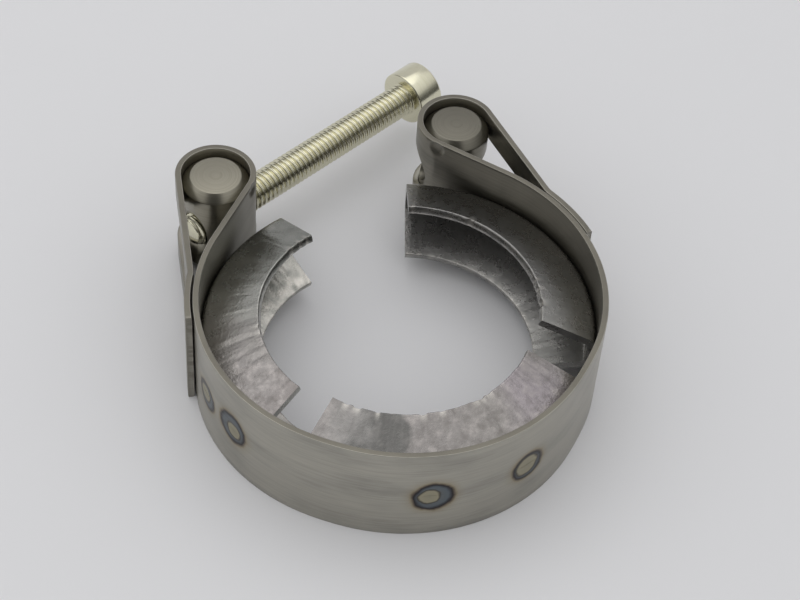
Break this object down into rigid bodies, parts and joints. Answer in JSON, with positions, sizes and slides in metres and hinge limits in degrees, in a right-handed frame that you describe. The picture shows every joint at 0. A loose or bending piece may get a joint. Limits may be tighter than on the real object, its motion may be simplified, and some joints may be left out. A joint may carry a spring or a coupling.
{
  "type": "v band clamp",
  "caption": "Open V band clamp: a flat steel band with V section retainers inside, two trunnion loops and a socket head screw that draws them together.",
  "frame": {"origin": "centre of the front arc of the ring, level with the band's lower edge", "axes": "+Z along the band's axis, from the edge it rests on to the other edge; +Y from the front of the ring towards the two trunnion loops; +X to the right"},
  "size_m": [0.0853, 0.1132, 0.023],
  "materials": {
    "band_steel": "satin rolled strip, lightly streaked",
    "pitted_steel": "worn mottled strip with pits and bright dents",
    "dark_steel": "darker worn strip with bright flecks",
    "trunnion_steel": "fine turned, satin",
    "screw_zinc": "zinc plated with a faint yellow green tint"
  },
  "bodies": {
    "band": {"band_strip": "band_steel", "retainer_left": "pitted_steel", "retainer_front": "pitted_steel", "retainer_right": "dark_steel"},
    "tapped_trunnion": {"tapped_trunnion": "trunnion_steel"},
    "plain_trunnion": {"plain_trunnion": "trunnion_steel"},
    "screw": {"screw": "screw_zinc"}
  },
  "joints": [
    {"name": "tapped_trunnion_swing", "type": "hinge", "parent": "band", "child": "tapped_trunnion", "pos_m": [-0.03876, 0.02932, 0.0115], "axis": [0, 0, 1], "range_deg": [-8, 20]},
    {"name": "screw_travel", "type": "slide", "parent": "tapped_trunnion", "child": "screw", "axis": [0.6704, 0.742, 0], "range_m": [-0.042, 0.01]},
    {"name": "plain_trunnion_turn", "type": "hinge", "parent": "band", "child": "plain_trunnion", "pos_m": [0.0079, 0.04974, 0.0115], "axis": [0, 0, 1], "continuous": true}
  ]
}
